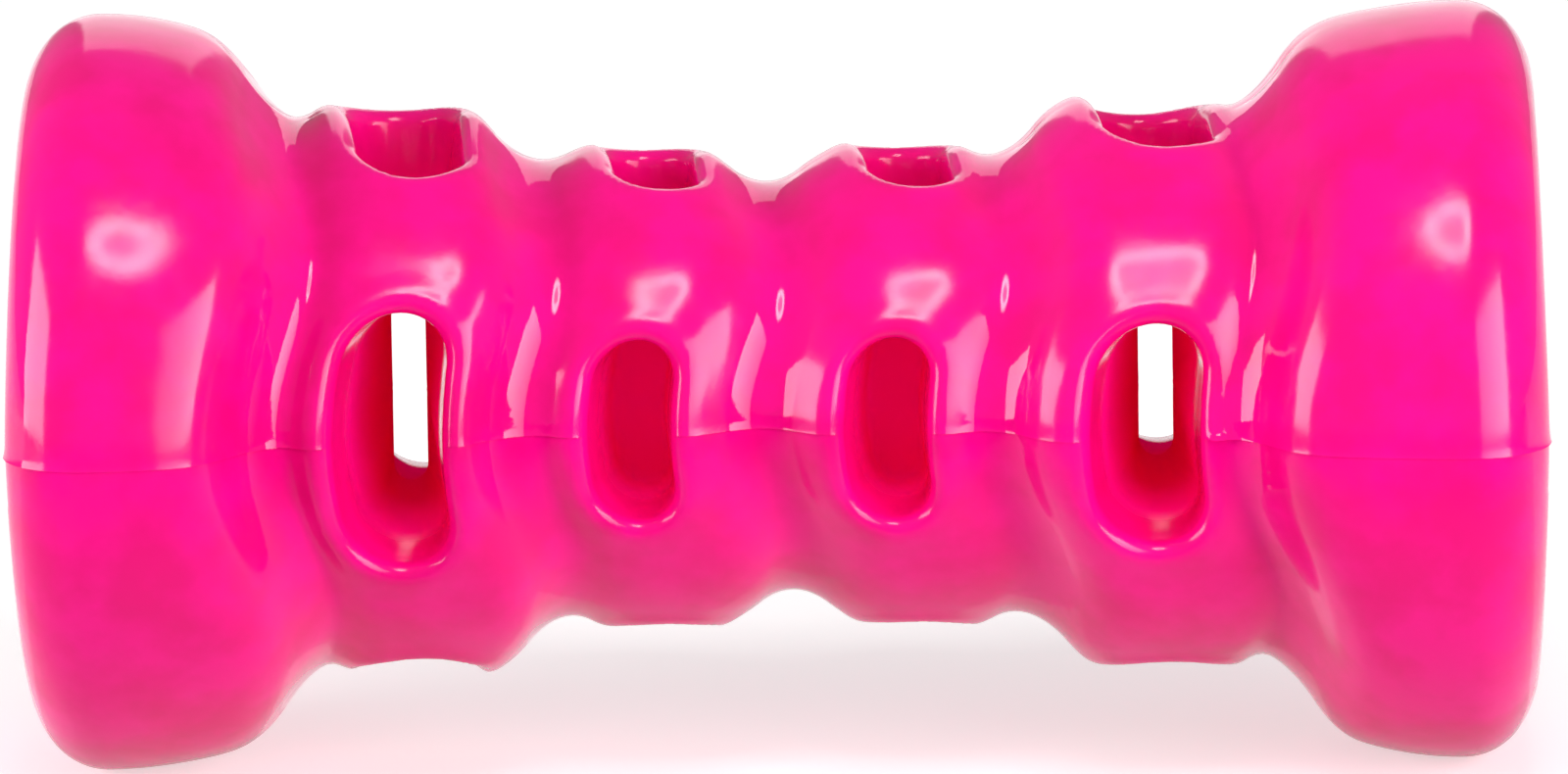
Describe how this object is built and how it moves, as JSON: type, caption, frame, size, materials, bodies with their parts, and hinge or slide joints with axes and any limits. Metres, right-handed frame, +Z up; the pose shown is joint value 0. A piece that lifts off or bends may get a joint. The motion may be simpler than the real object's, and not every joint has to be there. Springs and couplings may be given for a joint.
{
  "type": "bone-shaped dog toy",
  "caption": "Bone-shaped chew toy of glossy pink rubber: flared round ends and a ringed waist with rounded slots all round that hold treats, moulded in halves bonded on a middle seam.",
  "frame": {"origin": "middle of the toy, on its long axis and on the seam plane", "axes": "+X along the toy, +Y from front to rear, +Z up, square to the seam plane"},
  "size_m": [0.12, 0.06, 0.0598],
  "materials": {
    "rubber": "gloss moulded rubber, hot pink"
  },
  "bodies": {
    "root": {"upper_half": "rubber", "lower_half": "rubber"}
  },
  "joints": []
}
